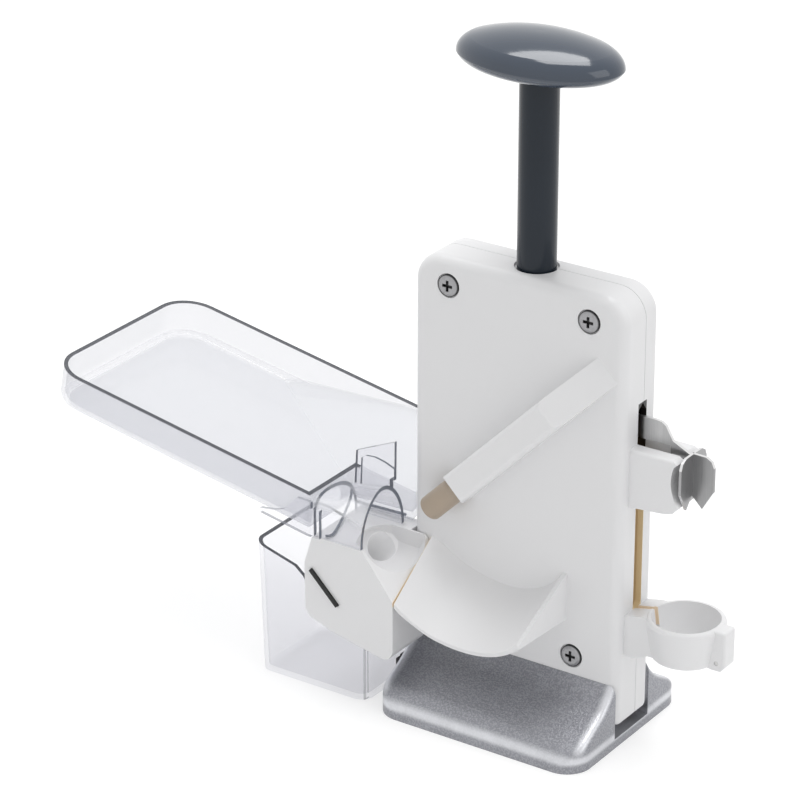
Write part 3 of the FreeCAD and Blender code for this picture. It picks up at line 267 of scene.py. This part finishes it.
def white_plastic(name, shade_mask=None, painted_glow=0.0, dark_mask=None, shade_colour=WARM_SHADE, glow_mask=None):
    g = new_finish(name)
    at = g.place()
    cloud = g.noise(at, CLOUD_SCALE)
    grain = g.noise(at, SATIN_SCALE)
    colour = g.blend((cloud - 0.5) * 0.06 + 0.5, WHITE_LOW, WHITE_HIGH)
    rough = 0.30 + grain * 0.08
    normal = g.bump(grain, 0.05, SATIN_DEPTH)
    if shade_mask is None:
        return g.finish(g.shader(Base_Color=colour, Roughness=rough, Normal=normal))
    # The mask paints a warm shade into the colour and a painted glow into the emission.
    mask = shade_mask(g, at)
    painted_glow_colour = tuple(part * painted_glow for part in shade_colour[:3]) + (1.0,)
    # The dark mask turns that painted shade into a deep shade and takes its glow away.
    if dark_mask is not None:
        dark = dark_mask(g, at)
        shade_colour = g.blend(dark, shade_colour, DEEP_SHADE)
        painted_glow_colour = g.blend(dark, painted_glow_colour, NO_LIGHT)
    colour = g.blend(mask, colour, shade_colour)
    light = g.blend(mask, NO_LIGHT, painted_glow_colour)
    if glow_mask is not None:
        light = g.blend(glow_mask(g, at), light, THIN_WALL_GLOW)
    return g.finish(g.shader(
        Base_Color=colour, Roughness=rough, Normal=normal,
        Emission_Color=light, Emission_Strength=1.0))


give(["tube_bush"], white_plastic("plain_white"))

# %% [markdown]
# Inside the case the walls get a painted warm shade in tan, and high in the side slot a painted
# deep shade. The seam between the seat and the chute and the slit beside the ring get the same
# painted shade. These faces could be painted one by one, but the model is loose triangles, so
# boxes of places, a little wider than the faces, are the surer way. The pit hole is a cylinder
# about the pin, and its walls get a painted glow.

# %% Where the white gets a painted warm shade
INSIDE_X = (-51.6 * MM, 51.6 * MM)
INSIDE_Y = (-12.0 * MM, 10.6 * MM)
INSIDE_Z = (18.0 * MM, 160.0 * MM)
SLOT_X = (48.0 * MM, 53.0 * MM)
SLOT_Y = (-2.35 * MM, 4.35 * MM)
SLOT_Z = (60.4 * MM, 158.0 * MM)
SLOT_DARK_FROM = (124.0 * MM, 132.0 * MM)
IN_FRONT = -15.0 * MM
CHUTE_END_X = (-42.4 * MM, -42.2 * MM)
SEAT_END_X = (-43.2 * MM, -42.8 * MM)
SEAT_FRONT_Y = -44.0 * MM
SEAT_EDGE_RISE = 0.581
SEAT_BAND_LOW = 53.5 * MM
RING_SLIT_Y = (-0.45 * MM, 2.45 * MM)
RING_SLIT_RIGHT = 66.0 * MM
RING_SLIT_LOW = 56.2 * MM
PIN_AXIS_Z = 131.6 * MM
PIN_AXIS_Y = -22.0 * MM
PIT_HOLE_TOP = 86.0 * MM
PIT_HOLE_RADIUS = 6.6 * MM
HALF_ROOT = math.sqrt(0.5)


def inside_case(g, at):
    # Painted warm shade goes on the inner walls, the side slot's own walls, and the left end of
    # the chute at the seam.
    x, y, z = g.split(at)
    inner = between(x, *INSIDE_X) * between(y, *INSIDE_Y) * between(z, *INSIDE_Z)
    slot = between(x, *SLOT_X) * between(y, *SLOT_Y) * between(z, *SLOT_Z)
    seam = between(x, *CHUTE_END_X) * (y < IN_FRONT)
    return inner.larger(slot).larger(seam)


def high_in_slot(g, at):
    # Painted deep shade high in the side slot.
    _, _, z = g.split(at)
    return z.rise(*SLOT_DARK_FROM)


def ring_slit(g, at):
    # Painted warm shade in the slit beside the ring.
    x, y, z = g.split(at)
    return between(y, *RING_SLIT_Y) * (x < RING_SLIT_RIGHT) * (z > RING_SLIT_LOW)


def seat_seam(g, at):
    # Painted warm shade in a narrow band along the sloping top of the seat's end face, which
    # looks at the chute.
    x, y, z = g.split(at)
    band = z - (y - SEAT_FRONT_Y) * SEAT_EDGE_RISE > SEAT_BAND_LOW
    return between(x, *SEAT_END_X) * (y < IN_FRONT) * band


def pit_hole(g, at):
    # The hole on the pin's axis. Its thin walls get a painted glow, as if daylight came through.
    x, y, z = g.split(at)
    down = (PIN_AXIS_Z - x - z) * HALF_ROOT
    across = (x - z + PIN_AXIS_Z) * HALF_ROOT
    side = y - PIN_AXIS_Y
    in_bore = across * across + side * side < PIT_HOLE_RADIUS ** 2
    return in_bore * (down > PIT_HOLE_TOP)


# Painted warm shade and glow inside the case, in the ring's slit and at the seat's seam, and a
# painted glow in the pit hole.
give(["front_shell", "rear_shell"], white_plastic("case_white", inside_case, 0.22, high_in_slot))
give(["plum_ring"], white_plastic("ring_white", ring_slit, 0.15, shade_colour=SEAM_SHADE))
give(["cherry_seat"],
     white_plastic("seat_white", seat_seam, 0.15, shade_colour=SEAM_SHADE, glow_mask=pit_hole))

# %% [markdown]
# The sleeve in the hood and the slide inside the case are a beige plastic, duller than the
# white. One flat colour would look like paint, so a slow noise drifts between two near tones.

# %% Beige guide plastic
BEIGE_LOW = rgb(160, 148, 134)
BEIGE_HIGH = rgb(178, 160, 140)
BEIGE_DRIFT = 60.0
BEIGE_GRAIN = 1500.0


def beige_plastic():
    g = new_finish("beige_plastic")
    at = g.place()
    fine = g.noise(at, BEIGE_GRAIN)
    return g.finish(g.shader(
        Base_Color=g.blend(g.noise(at, BEIGE_DRIFT), BEIGE_LOW, BEIGE_HIGH),
        Roughness=0.36 + fine * 0.1, Normal=g.bump(fine, 0.05, SATIN_DEPTH)))


give(["pin_sleeve", "carriage", "slide_pads", "pin_slider", "spring_guide"], beige_plastic())

# %% [markdown]
# The tube and its knob are a slate grey gloss. On the real part the colour is even and the
# reflection is what one reads, so the base stays dark. The knob's polish is a clear coat over
# its base, and the tube is plainer: it has no coat and reflects less.

# %% Slate gloss
SLATE_DRIFT = 25.0
SLATE_WAVE = 240.0
WAVE_DEPTH = 0.3 * MM


def slate_gloss(name, dark, light, specular, coat):
    g = new_finish(name)
    at = g.place()
    wave = g.noise(at, SLATE_WAVE)
    return g.finish(g.shader(
        Base_Color=g.blend(g.noise(at, SLATE_DRIFT), dark, light),
        Roughness=0.12 + wave * 0.05, Specular_IOR_Level=specular,
        Coat_Weight=coat, Coat_Roughness=0.05, Normal=g.bump(wave, 0.02, WAVE_DEPTH)))


give(["plunger_tube"],
     slate_gloss("slate_tube", rgb(26, 34, 43), rgb(34, 42, 52), specular=0.3, coat=0.0))
give(["plunger_knob"],
     slate_gloss("slate_knob", rgb(44, 56, 72), rgb(52, 64, 80), specular=0.5, coat=0.6))

# %% [markdown]
# The base is a silver plastic with a spark-eroded grain. Fine noise drives both the bump and a
# small change of brightness, and metal in the shader gives the soft grey sheen. Two ridges get
# a painted highlight in the colour: the lip all round, and the crest at each end.

# %% Silver textured plastic
SPARK_SCALE = 1300.0
SPARK_DEPTH = 0.3 * MM
SILVER_DRIFT = 90.0
SILVER_LOW = rgb(134, 135, 140)
SILVER_HIGH = rgb(170, 171, 177)
# Painted highlight colour for the lip and the end crests.
SILVER_HIGHLIGHT = rgb(236, 237, 241)
LIP_UP = (3.0 * MM, 5.2 * MM)
LIP_DOWN = (6.0 * MM, 8.8 * MM)
END_UP = (46.2 * MM, 49.6 * MM)
END_DOWN = (50.6 * MM, 52.0 * MM)
ABOVE_LIP = (6.0 * MM, 12.0 * MM)


def silver_grain():
    g = new_finish("silver_grain")
    at = g.place()
    x, _, z = g.split(at)
    speck = g.noise(at, SPARK_SCALE, 3.0, 0.6)
    broad = g.noise(at, SILVER_DRIFT, 3.0, 0.6)
    spark = speck.rise(0.42, 0.62) * 0.6 + broad * 0.4
    # Painted highlight on the lip and on the crests at the ends.
    lip = ridge(z, LIP_UP, LIP_DOWN)
    ends = ridge(abs(x), END_UP, END_DOWN) * z.rise(*ABOVE_LIP)
    painted_highlight = lip.larger(ends) * (0.40 + broad * 0.5)
    colour = g.blend(painted_highlight, g.blend(spark, SILVER_LOW, SILVER_HIGH), SILVER_HIGHLIGHT)
    return g.finish(g.shader(
        Base_Color=colour, Metallic=0.85, Roughness=0.30 + broad * 0.1 - painted_highlight * 0.08,
        Normal=g.bump(speck, 0.45, SPARK_DEPTH)))


give(["base_foot"], silver_grain())

# %% [markdown]
# The blade and the pin are stamped stainless sheet. Brushing shows as fine streaks along the
# blade, so the noise is squeezed across that direction before it reaches colour and gloss. The
# star's wings mirror each other near their fold and look darker there; that is painted shade
# from a mask, which is cheaper and surer than a reflection. The plate gets a painted shade
# towards the star, and the cut edges get a painted highlight.

# %% Stainless sheet
STREAK_SQUEEZE = (2500.0, 2500.0, 60.0)
STEEL_SHADED = rgb(88, 88, 90)
# Painted highlight colour for the cut edges.
STEEL_CUT_HIGHLIGHT = rgb(226, 226, 226)
CUT_FACING = (0.2, 0.4)
FOLD_X = 77.0 * MM
FOLD_REACH = (0.2 * MM, 7.5 * MM)
FOLD_SHADE = 0.42
PLATE_SHADE_X = (56.0 * MM, 74.0 * MM)
PLATE_SHADE = 0.45


def stainless(name, dull, bright, shaded=None):
    g = new_finish(name)
    at = g.place()
    squeezed = g.node("ShaderNodeMapping", Vector=at, Scale=STREAK_SQUEEZE)
    streak = g.noise(squeezed, 1.0, 3.0, 0.6)
    colour = g.blend(streak, dull, bright)
    if shaded is not None:
        _, _, nz = g.split(g.facing())
        # Painted shade from the mask, then a painted highlight on faces that turn up or down: the
        # cut edges.
        colour = g.blend(shaded(g, at), colour, STEEL_SHADED)
        colour = g.blend(abs(nz).rise(*CUT_FACING), colour, STEEL_CUT_HIGHLIGHT)
    return g.finish(g.shader(
        Base_Color=colour, Metallic=1.0, Roughness=0.24 + streak * 0.12,
        Normal=g.bump(streak, 0.06, SATIN_DEPTH)))


def toward_fold(g, at):
    # Painted shade on the star's wings near their fold.
    x, _, _ = g.split(at)
    return (1.0 - abs(x - FOLD_X).rise(*FOLD_REACH)) * FOLD_SHADE


def toward_star(g, at):
    # Painted shade on the plate towards the star.
    x, _, _ = g.split(at)
    return x.rise(*PLATE_SHADE_X) * PLATE_SHADE


brushed = stainless("brushed_stainless", rgb(176, 176, 176), rgb(214, 214, 213))
give(["pitting_pin", "ring_pin", "cross_pin", "blade_rivets", "return_spring"], brushed)
give(["star_blade_front", "star_blade_rear"],
     stainless("star_stainless", rgb(178, 178, 179), rgb(206, 206, 206), toward_fold))
give(["blade_plate"],
     stainless("plate_stainless", rgb(164, 164, 165), rgb(200, 200, 200), toward_star))

# %% [markdown]
# The screws are zinc plated steel. Their cross recess reads as black, because no light gets
# back out of it. A real shadow would need many light bounces, so every place deeper than the
# heads' front face is simply made dark and dull.

# %% Screw metal
ZINC_LOW = rgb(150, 150, 152)
ZINC_HIGH = rgb(176, 176, 178)
RECESS_DARK = rgb(18, 18, 20)
RECESS_Y = (-14.9 * MM, -14.6 * MM)


def screw_metal():
    g = new_finish("screw_metal")
    at = g.place()
    _, y, _ = g.split(at)
    deep = y.rise(*RECESS_Y)
    speck = g.noise(at, SATIN_SCALE)
    colour = g.blend(deep, g.blend(speck, ZINC_LOW, ZINC_HIGH), RECESS_DARK)
    return g.finish(g.shader(
        Base_Color=colour, Metallic=0.6 * (1.0 - deep), Roughness=0.35 + speck * 0.1))


give(["case_screws", "base_screws", "knob_screw"], screw_metal())

# %% [markdown]
# The seal, the feet and the catch behind the container are black. Rubber is dull and a little
# uneven, and a faint powdery grain keeps it from reading as a hole.

# %% Black rubber
POWDER_SCALE = 1200.0
RUBBER_LOW = rgb(26, 26, 27)
RUBBER_HIGH = rgb(44, 43, 43)


def black_rubber():
    g = new_finish("black_rubber")
    powder = g.noise(g.place(), POWDER_SCALE, 3.0)
    return g.finish(g.shader(
        Base_Color=g.blend(powder, RUBBER_LOW, RUBBER_HIGH),
        Roughness=0.6 + powder * 0.2, Normal=g.bump(powder, 0.1, SATIN_DEPTH)))


give(["pit_seal", "rubber_feet", "container_latch"], black_rubber())

# %% [markdown]
# Hopper, tunnel and container are clear plastic. Seen flat on it almost vanishes, but where a
# wall turns away or is cut off it looks dark, because light that enters there comes from the
# side. Glass in the shader would need many bounces to show that. So the clear part is a tinted
# Transparent shader, and a mask of facing angle and of the cut edges mixes in a glossy grey.

# %% Clear plastic
CLEAR_TINT = rgb(251, 251, 252)
THIN_CLEAR_TINT = rgb(252, 252, 253)
CUT_GREY = rgb(32, 38, 52)
CREASE_SHADING_GREY = rgb(212, 214, 219)
BODY_FLAT = rgb(246, 247, 250)
LEVEL_FLAT = (0.90, 0.97)
CREASE_UP = (0.22, 0.40)
CREASE_DOWN = (0.75, 0.93)
CREASE_SHARE = 0.30
CUT_SHARE = 0.93
STEEP_SHARE = 0.35


def clear_plastic(name, edge_mask, floor_veil, wall_veil, tint=THIN_CLEAR_TINT, cut=CUT_GREY):
    g = new_finish(name)
    edge = edge_mask(g, g.place())
    _, _, nz = g.split(g.facing())
    level = abs(nz)
    flat = level.rise(*LEVEL_FLAT)
    # Painted shading along the creases: a greyer glossy share is mixed in where a face is neither
    # level nor upright.
    crease = ridge(level, CREASE_UP, CREASE_DOWN)
    grazing = g.node("ShaderNodeLayerWeight", Blend=0.35, out="Facing")
    steep = grazing * grazing
    body = g.blend(edge, g.blend(crease, CREASE_SHADING_GREY, BODY_FLAT), cut)
    gloss = g.shader(Base_Color=body, Roughness=0.06, Specular_IOR_Level=0.6)
    veil = flat * floor_veil + (1.0 - flat) * wall_veil
    amount = (steep * STEEP_SHARE + veil).larger(crease * CREASE_SHARE).larger(edge * CUT_SHARE)
    return g.finish(g.see_through(tint, amount, gloss))


print("clear plastic takes a mask of its cut edges")

# %% [markdown]
# Each clear piece has its own cut edges. The tray's is its whole rim, which falls towards the
# exit, apart from the low step and the wide shelf at the back. The container's is its top and
# one upright corner, the tunnel's its two ends and its lip, and the fin's all but its faces.

# %% Cut edges of the clear pieces
TRAY_EXIT_X = -86.0 * MM
TRAY_EXIT_Z = 95.6 * MM
TRAY_FALL = 0.181
TRAY_COSINE = 0.984
RIM_DEPTH = (0.2 * MM, 0.6 * MM)
STEP_LEFT = -84.5 * MM
STEP_REAR = -6.0 * MM
SHELF_X = (-100.0 * MM, -55.9 * MM)
SHELF_Y = (20.0 * MM, 54.6 * MM)
CORNER_X = (-61.4 * MM, -60.6 * MM)
CORNER_REAR = -36.0 * MM
CORNER_TOP = 33.0 * MM
CONTAINER_RIM_LOW = 20.0 * MM
TUNNEL_LEFT = -100.0 * MM
LIP_REAR = -44.2 * MM
LIP_RIGHT = -84.6 * MM
RIB_GREY = rgb(84, 90, 102)
TUNNEL_GREY = rgb(100, 106, 118)


def tray_edge(g, at):
    x, y, z = g.split(at)
    below = (TRAY_EXIT_Z - (x - TRAY_EXIT_X) * TRAY_FALL - z) * TRAY_COSINE
    rim = 1.0 - below.rise(*RIM_DEPTH)
    step = (x > STEP_LEFT) * (y < STEP_REAR)
    shelf = between(x, *SHELF_X) * between(y, *SHELF_Y)
    return rim * (1.0 - step * 0.9) * (1.0 - shelf * 0.9)


def container_edge(g, at):
    x, y, z = g.split(at)
    _, _, nz = g.split(g.facing())
    corner = between(x, *CORNER_X) * (y < CORNER_REAR) * (z < CORNER_TOP)
    return ((nz > 0.55) * (z > CONTAINER_RIM_LOW)).larger(corner * 0.5)


def tunnel_edge(g, at):
    x, y, _ = g.split(at)
    nx, _, nz = g.split(g.facing())
    ends = (abs(nx) > 0.96) * (x > TUNNEL_LEFT)
    lip_top = (y < LIP_REAR) * (nz > 0.25) * (x < LIP_RIGHT)
    return ends.larger(lip_top * 0.7)


def fin_edge(g, at):
    _, ny, _ = g.split(g.facing())
    return abs(ny) < 0.5


give(["hopper_tray"],
     clear_plastic("clear_tray", tray_edge, floor_veil=0.33, wall_veil=0.12, tint=CLEAR_TINT))
give(["pit_container"],
     clear_plastic("clear_container", container_edge, floor_veil=0.04, wall_veil=0.03))
give(["outlet_tunnel"],
     clear_plastic("clear_tunnel", tunnel_edge, floor_veil=0.06, wall_veil=0.03, cut=TUNNEL_GREY))
give(["feed_fin"],
     clear_plastic("clear_fin", fin_edge, floor_veil=0.06, wall_veil=0.02, cut=RIB_GREY))

# %% [markdown]
# Two moulded ribs show as thick dark lines through the clear plastic: the edge of the ramp on
# which the cherries roll under the tunnel, and a bar along the low side of the tray's step.
# A curve with a round bevel would do, but it has to become a mesh first. A row of small rings
# along the path, bridged one to the next and closed at the ends, is a mesh from the start.

# %% Clear ribs
RIB_RADIUS = 0.62 * MM
RIB_SIDES = 8
RIB_LIGHT_GREY = rgb(150, 156, 166)
RIB_TINT = rgb(238, 240, 244)
RAMP_EDGE = [
    (-84.0, -15.3, 87.9), (-84.0, -15.6, 85.6), (-84.0, -16.3, 83.2), (-84.0, -18.2, 80.9),
    (-83.8, -20.6, 78.7), (-82.4, -24.8, 77.6), (-80.2, -30.6, 77.3), (-78.4, -35.6, 77.2),
    (-77.3, -39.4, 77.2), (-77.6, -41.4, 77.2), (-79.0, -42.6, 77.2),
]
STEP_BAR = [(-85.6, -9.0, 78.5), (-73.0, -9.0, 78.9), (-59.6, -9.0, 79.2)]


def close_ends(bm):
    bmesh.ops.holes_fill(bm, edges=[edge for edge in bm.edges if edge.is_boundary], sides=0)
    bmesh.ops.recalc_face_normals(bm, faces=bm.faces[:])


def add_piece(name, bm, material):
    mesh = bpy.data.meshes.new(name)
    bm.to_mesh(mesh)
    bm.free()
    mesh.materials.append(material)
    piece = bpy.data.objects.new(name, mesh)
    bpy.context.scene.collection.objects.link(piece)
    return piece


def rib_finish():
    g = new_finish("clear_rib")
    tone = g.noise(g.place(), 160.0)
    colour = g.blend(tone, RIB_GREY, RIB_LIGHT_GREY)
    solid = g.shader(Base_Color=colour, Roughness=0.10 + tone * 0.05)
    return g.finish(g.see_through(RIB_TINT, 0.45 + tone * 0.35, solid))


def make_rib(name, path, material):
    bm = bmesh.new()
    points = [Vector(point) * MM for point in path]
    rings = []
    for i, point in enumerate(points):
        ahead = points[min(i + 1, len(points) - 1)] - points[max(i - 1, 0)]
        turned = ahead.to_track_quat("Z", "Y").to_matrix().to_4x4()
        made = bmesh.ops.create_circle(
            bm, segments=RIB_SIDES, radius=RIB_RADIUS, matrix=Matrix.Translation(point) @ turned)
        rings.append(list({edge for vert in made["verts"] for edge in vert.link_edges}))
    for ring, after in zip(rings, rings[1:]):
        bmesh.ops.bridge_loops(bm, edges=ring + after)
    close_ends(bm)
    rib = add_piece(name, bm, material)
    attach(rib, "hopper")
    print(name, "faces:", len(rib.data.polygons))


rib_material = rib_finish()
make_rib("tunnel_ramp_edge", RAMP_EDGE, rib_material)
make_rib("tray_step_bar", STEP_BAR, rib_material)

# %% [markdown]
# The return spring stands around its post inside the case and is pressed together, from 126 mm
# down to 46 mm, when the palm knob goes down. A rigid copy would run into the tube, so the spring
# is wound here: one round section is spun about the post while each step lifts it a little.

# %% Return spring
SPRING_LOW = 15.0 * MM
SPRING_HIGH = 141.0 * MM
COIL_RADIUS = 6.3 * MM
WIRE_RADIUS = 0.85 * MM
WIRE_SIDES = 10
TURNS = 7
STEPS_A_TURN = 28


def wind_spring():
    bm = bmesh.new()
    stand = Matrix.Rotation(math.radians(90.0), 4, "X")
    start = Matrix.Translation((COIL_RADIUS, 0.0, SPRING_LOW + WIRE_RADIUS))
    bmesh.ops.create_circle(bm, segments=WIRE_SIDES, radius=WIRE_RADIUS, matrix=start @ stand)
    steps = TURNS * STEPS_A_TURN
    lift = (SPRING_HIGH - SPRING_LOW - 2.0 * WIRE_RADIUS) / steps
    bmesh.ops.spin(
        bm, geom=bm.verts[:] + bm.edges[:], cent=(0.0, 0.0, 0.0), axis=(0.0, 0.0, 1.0),
        dvec=(0.0, 0.0, lift), angle=TURNS * 2.0 * math.pi, steps=steps, use_merge=False)
    close_ends(bm)
    # The wire is smooth round its section, and its two cut ends are flat.
    for face in bm.faces:
        face.smooth = len(face.verts) == 4
    return add_piece("coil_spring", bm, brushed)


spring = wind_spring()
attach(spring, "housing")
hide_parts("return_spring")
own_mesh(spring)

# %% [markdown]
# The table is one wide flat sheet of pale paper. A bright paper would throw light back up under
# the tool, and a dark one would show a hard rim against the sky. So the floor has two faces: to
# the camera and in reflections it is lifted nearly to white and still takes a faint shadow,
# and to all other light it is plain paper.

# %% Floor
FLOOR_HALF = 6.0
PAPER = (0.9, 0.9, 0.9, 1.0)
FAINT_PAPER = (0.5, 0.5, 0.5, 1.0)
PAPER_LIFT = 0.58


def seen_rays(g):
    # 1 for the camera's own rays and for those that come by way of metal or clear plastic.
    camera_ray, glossy_ray, clear_ray = g.outputs(
        g.node("ShaderNodeLightPath"), "Is Camera Ray", "Is Glossy Ray", "Is Transmission Ray")
    return camera_ray.larger(glossy_ray).larger(clear_ray)


def white_paper():
    g = new_finish("white_paper")
    paper = g.shader(Base_Color=PAPER, Roughness=0.9)
    faint = g.shader(Base_Color=FAINT_PAPER, Roughness=0.9)
    lift = g.node("ShaderNodeEmission", Color=WHITE, Strength=PAPER_LIFT)
    lifted = g.node("ShaderNodeAddShader", None, faint, lift)
    return g.finish(g.node("ShaderNodeMixShader", None, seen_rays(g), paper, lifted))


def add_floor():
    bm = bmesh.new()
    bmesh.ops.create_grid(bm, x_segments=1, y_segments=1, size=FLOOR_HALF)
    return add_piece("floor", bm, white_paper())


floor = add_floor()
print("floor is", 2 * FLOOR_HALF, "m wide")

# %% [markdown]
# A white sky fills the shadows from all sides. It is weaker for the light that it gives than
# for the eye, so the paper and the case do not burn out. Two large square lamps shape the tool:
# one from the right, which models the case's side, and a stronger one from above.

# %% World and lamps
SKY_LIGHT = 0.66
SKY_SEEN = 1.0


def add_world():
    world = bpy.data.worlds.new("studio")
    bpy.context.scene.world = world
    g = Graph(world)
    soft = g.node("ShaderNodeBackground", Color=WHITE, Strength=SKY_LIGHT)
    seen = g.node("ShaderNodeBackground", Color=WHITE, Strength=SKY_SEEN)
    sky = g.node("ShaderNodeMixShader", None, seen_rays(g), soft, seen)
    g.finish(sky, "ShaderNodeOutputWorld")


def add_lamp(name, place, target, size, watts):
    data = bpy.data.lights.new(name, "AREA")
    data.shape = "SQUARE"
    data.size = size
    data.energy = watts
    add_aimed(name, data, place, Vector(target) - Vector(place))
    print(name, "lamp of", watts, "W")


add_world()
add_lamp("key_right", place=(1.3, -0.1, 1.0), target=(0.0, 0.0, 0.12), size=1.0, watts=3.0)
add_lamp("top", place=(-0.2, 0.2, 1.6), target=(0.0, 0.0, 0.1), size=0.9, watts=12.0)
bpy.context.scene.view_settings.view_transform = "Standard"
